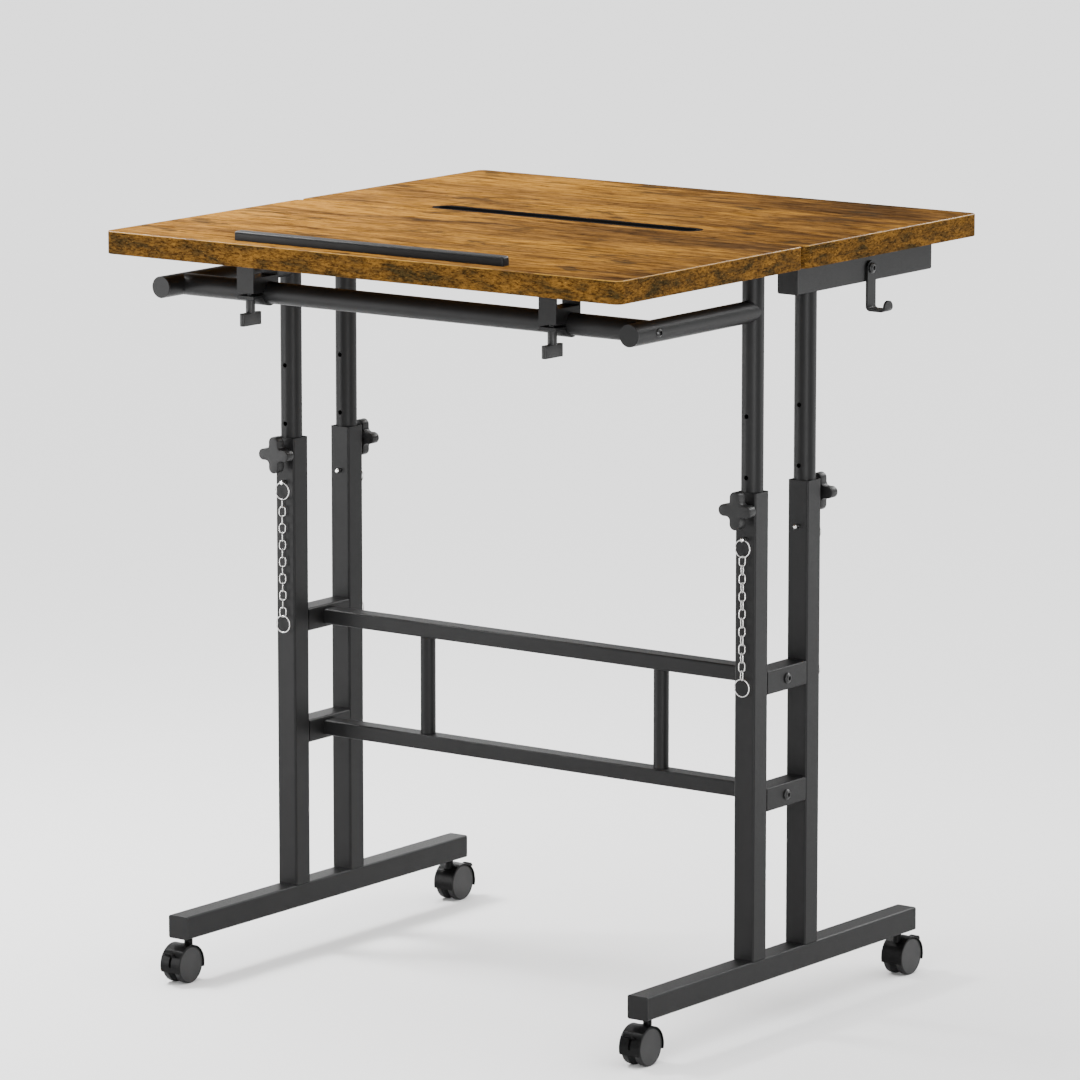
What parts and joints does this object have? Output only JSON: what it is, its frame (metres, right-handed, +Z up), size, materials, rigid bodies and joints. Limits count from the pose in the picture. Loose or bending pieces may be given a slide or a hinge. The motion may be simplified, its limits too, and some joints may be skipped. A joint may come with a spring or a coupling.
{
  "type": "standing desk",
  "caption": "Rolling sit-stand desk with a tilting front panel and a level rear panel on pin-locked telescopic legs, with a tablet slot, edge stop, hook and braked casters.",
  "frame": {"origin": "on the floor, under the middle of the top", "axes": "+X to the user's right along the panels, +Y from the user to the rear panel, +Z up"},
  "size_m": [0.6074, 0.6, 0.753],
  "materials": {
    "wood": "matt wood-grain laminate",
    "powder_coat": "fine-textured black powder coat",
    "black_plastic": "satin moulded plastic",
    "black_screw": "black oxide steel",
    "wheel_plastic": "grey-black nylon",
    "zinc": "bright zinc plate"
  },
  "bodies": {
    "base": {"left_foot": "powder_coat", "right_foot": "powder_coat", "foot_end_plugs": "black_plastic", "front_left_upright": "powder_coat", "front_right_upright": "powder_coat", "rear_left_upright": "powder_coat", "rear_right_upright": "powder_coat", "knob_nuts": "powder_coat", "side_rungs": "powder_coat", "upper_crossbar": "powder_coat", "lower_crossbar": "powder_coat", "crossbar_struts": "powder_coat", "crossbar_screws": "black_screw"},
    "front_carriage": {"front_left_post": "powder_coat", "front_right_post": "powder_coat", "left_arm": "powder_coat", "right_arm": "powder_coat", "front_cross_tube": "powder_coat", "cross_tube_screws": "black_screw", "front_tube_caps": "black_plastic"},
    "tilt_panel": {"front_panel": "wood", "edge_stop": "black_plastic", "left_clamp": "powder_coat", "right_clamp": "powder_coat", "clamp_screws": "black_screw"},
    "rear_carriage": {"rear_left_post": "powder_coat", "rear_right_post": "powder_coat", "left_rear_bar": "powder_coat", "right_rear_bar": "powder_coat", "bar_end_plugs": "black_plastic", "rear_panel": "wood", "slot_liner": "black_plastic", "rear_frame_screws": "black_screw", "headphone_hook": "powder_coat"},
    "left_thumbscrew": {"left_thumbscrew": "black_plastic"},
    "right_thumbscrew": {"right_thumbscrew": "black_plastic"},
    "front_left_knob": {"front_left_knob": "black_plastic"},
    "front_left_pin": {"front_left_pin": "zinc"},
    "front_left_chain": {"front_left_chain": "zinc"},
    "front_left_caster_hood": {"front_left_caster_hood": "black_plastic"},
    "front_left_caster_wheels": {"front_left_caster_wheels": "wheel_plastic"},
    "front_left_caster_brake": {"front_left_caster_brake": "black_plastic"},
    "front_right_knob": {"front_right_knob": "black_plastic"},
    "front_right_pin": {"front_right_pin": "zinc"},
    "front_right_chain": {"front_right_chain": "zinc"},
    "front_right_caster_hood": {"front_right_caster_hood": "black_plastic"},
    "front_right_caster_wheels": {"front_right_caster_wheels": "wheel_plastic"},
    "front_right_caster_brake": {"front_right_caster_brake": "black_plastic"},
    "rear_left_knob": {"rear_left_knob": "black_plastic"},
    "rear_left_pin": {"rear_left_pin": "zinc"},
    "rear_left_chain": {"rear_left_chain": "zinc"},
    "rear_left_caster_hood": {"rear_left_caster_hood": "black_plastic"},
    "rear_left_caster_wheels": {"rear_left_caster_wheels": "wheel_plastic"},
    "rear_left_caster_brake": {"rear_left_caster_brake": "black_plastic"},
    "rear_right_knob": {"rear_right_knob": "black_plastic"},
    "rear_right_pin": {"rear_right_pin": "zinc"},
    "rear_right_chain": {"rear_right_chain": "zinc"},
    "rear_right_caster_hood": {"rear_right_caster_hood": "black_plastic"},
    "rear_right_caster_wheels": {"rear_right_caster_wheels": "wheel_plastic"},
    "rear_right_caster_brake": {"rear_right_caster_brake": "black_plastic"}
  },
  "joints": [
    {"name": "front_height", "type": "slide", "parent": "base", "child": "front_carriage", "axis": [0, 0, 1], "range_m": [-0.116, 0.232]},
    {"name": "rear_height", "type": "slide", "parent": "base", "child": "rear_carriage", "axis": [0, 0, 1], "range_m": [-0.116, 0.232]},
    {"name": "panel_tilt", "type": "hinge", "parent": "front_carriage", "child": "tilt_panel", "pos_m": [0, -0.215, 0.686], "axis": [1, 0, 0], "range_deg": [0, 60]},
    {"name": "left_thumbscrew_turn", "type": "hinge", "parent": "tilt_panel", "child": "left_thumbscrew", "pos_m": [-0.177, -0.233, 0.674], "axis": [0, 0, 1], "range_deg": [-720, 0]},
    {"name": "right_thumbscrew_turn", "type": "hinge", "parent": "tilt_panel", "child": "right_thumbscrew", "pos_m": [0.177, -0.233, 0.674], "axis": [0, 0, 1], "range_deg": [-720, 0]},
    {"name": "front_left_knob_turn", "type": "hinge", "parent": "base", "child": "front_left_knob", "pos_m": [-0.274, -0.073, 0.5006], "axis": [0, -1, 0], "range_deg": [0, 720]},
    {"name": "front_left_pin_pull", "type": "slide", "parent": "base", "child": "front_left_pin", "axis": [0, -1, 0], "range_m": [0, 0.04]},
    {"name": "front_left_chain_swing", "type": "hinge", "parent": "front_left_pin", "child": "front_left_chain", "pos_m": [-0.274, -0.0638, 0.4716], "axis": [-1, 0, 0], "range_deg": [0, 90]},
    {"name": "front_left_caster_swivel", "type": "hinge", "parent": "base", "child": "front_left_caster_hood", "pos_m": [-0.274, -0.216, 0.0438], "axis": [0, 0, 1], "continuous": true},
    {"name": "front_left_caster_roll", "type": "hinge", "parent": "front_left_caster_hood", "child": "front_left_caster_wheels", "pos_m": [-0.274, -0.2255, 0.01825], "axis": [1, 0, 0], "continuous": true},
    {"name": "front_left_caster_brake_press", "type": "hinge", "parent": "front_left_caster_hood", "child": "front_left_caster_brake", "pos_m": [-0.274, -0.2255, 0.01825], "axis": [1, 0, 0], "range_deg": [0, 22]},
    {"name": "front_right_knob_turn", "type": "hinge", "parent": "base", "child": "front_right_knob", "pos_m": [0.274, -0.073, 0.5006], "axis": [0, -1, 0], "range_deg": [0, 720]},
    {"name": "front_right_pin_pull", "type": "slide", "parent": "base", "child": "front_right_pin", "axis": [0, -1, 0], "range_m": [0, 0.04]},
    {"name": "front_right_chain_swing", "type": "hinge", "parent": "front_right_pin", "child": "front_right_chain", "pos_m": [0.274, -0.0638, 0.4716], "axis": [-1, 0, 0], "range_deg": [0, 90]},
    {"name": "front_right_caster_swivel", "type": "hinge", "parent": "base", "child": "front_right_caster_hood", "pos_m": [0.274, -0.216, 0.0438], "axis": [0, 0, 1], "continuous": true},
    {"name": "front_right_caster_roll", "type": "hinge", "parent": "front_right_caster_hood", "child": "front_right_caster_wheels", "pos_m": [0.274, -0.2255, 0.01825], "axis": [1, 0, 0], "continuous": true},
    {"name": "front_right_caster_brake_press", "type": "hinge", "parent": "front_right_caster_hood", "child": "front_right_caster_brake", "pos_m": [0.274, -0.2255, 0.01825], "axis": [1, 0, 0], "range_deg": [0, 22]},
    {"name": "rear_left_knob_turn", "type": "hinge", "parent": "base", "child": "rear_left_knob", "pos_m": [-0.274, 0.065, 0.5006], "axis": [0, 1, 0], "range_deg": [0, 720]},
    {"name": "rear_left_pin_pull", "type": "slide", "parent": "base", "child": "rear_left_pin", "axis": [0, 1, 0], "range_m": [0, 0.04]},
    {"name": "rear_left_chain_swing", "type": "hinge", "parent": "rear_left_pin", "child": "rear_left_chain", "pos_m": [-0.274, 0.0558, 0.4716], "axis": [1, 0, 0], "range_deg": [0, 90]},
    {"name": "rear_left_caster_swivel", "type": "hinge", "parent": "base", "child": "rear_left_caster_hood", "pos_m": [-0.274, 0.208, 0.0438], "axis": [0, 0, 1], "continuous": true},
    {"name": "rear_left_caster_roll", "type": "hinge", "parent": "rear_left_caster_hood", "child": "rear_left_caster_wheels", "pos_m": [-0.274, 0.2175, 0.01825], "axis": [1, 0, 0], "continuous": true},
    {"name": "rear_left_caster_brake_press", "type": "hinge", "parent": "rear_left_caster_hood", "child": "rear_left_caster_brake", "pos_m": [-0.274, 0.2175, 0.01825], "axis": [-1, 0, 0], "range_deg": [0, 22]},
    {"name": "rear_right_knob_turn", "type": "hinge", "parent": "base", "child": "rear_right_knob", "pos_m": [0.274, 0.065, 0.5006], "axis": [0, 1, 0], "range_deg": [0, 720]},
    {"name": "rear_right_pin_pull", "type": "slide", "parent": "base", "child": "rear_right_pin", "axis": [0, 1, 0], "range_m": [0, 0.04]},
    {"name": "rear_right_chain_swing", "type": "hinge", "parent": "rear_right_pin", "child": "rear_right_chain", "pos_m": [0.274, 0.0558, 0.4716], "axis": [1, 0, 0], "range_deg": [0, 90]},
    {"name": "rear_right_caster_swivel", "type": "hinge", "parent": "base", "child": "rear_right_caster_hood", "pos_m": [0.274, 0.208, 0.0438], "axis": [0, 0, 1], "continuous": true},
    {"name": "rear_right_caster_roll", "type": "hinge", "parent": "rear_right_caster_hood", "child": "rear_right_caster_wheels", "pos_m": [0.274, 0.2175, 0.01825], "axis": [1, 0, 0], "continuous": true},
    {"name": "rear_right_caster_brake_press", "type": "hinge", "parent": "rear_right_caster_hood", "child": "rear_right_caster_brake", "pos_m": [0.274, 0.2175, 0.01825], "axis": [-1, 0, 0], "range_deg": [0, 22]}
  ]
}
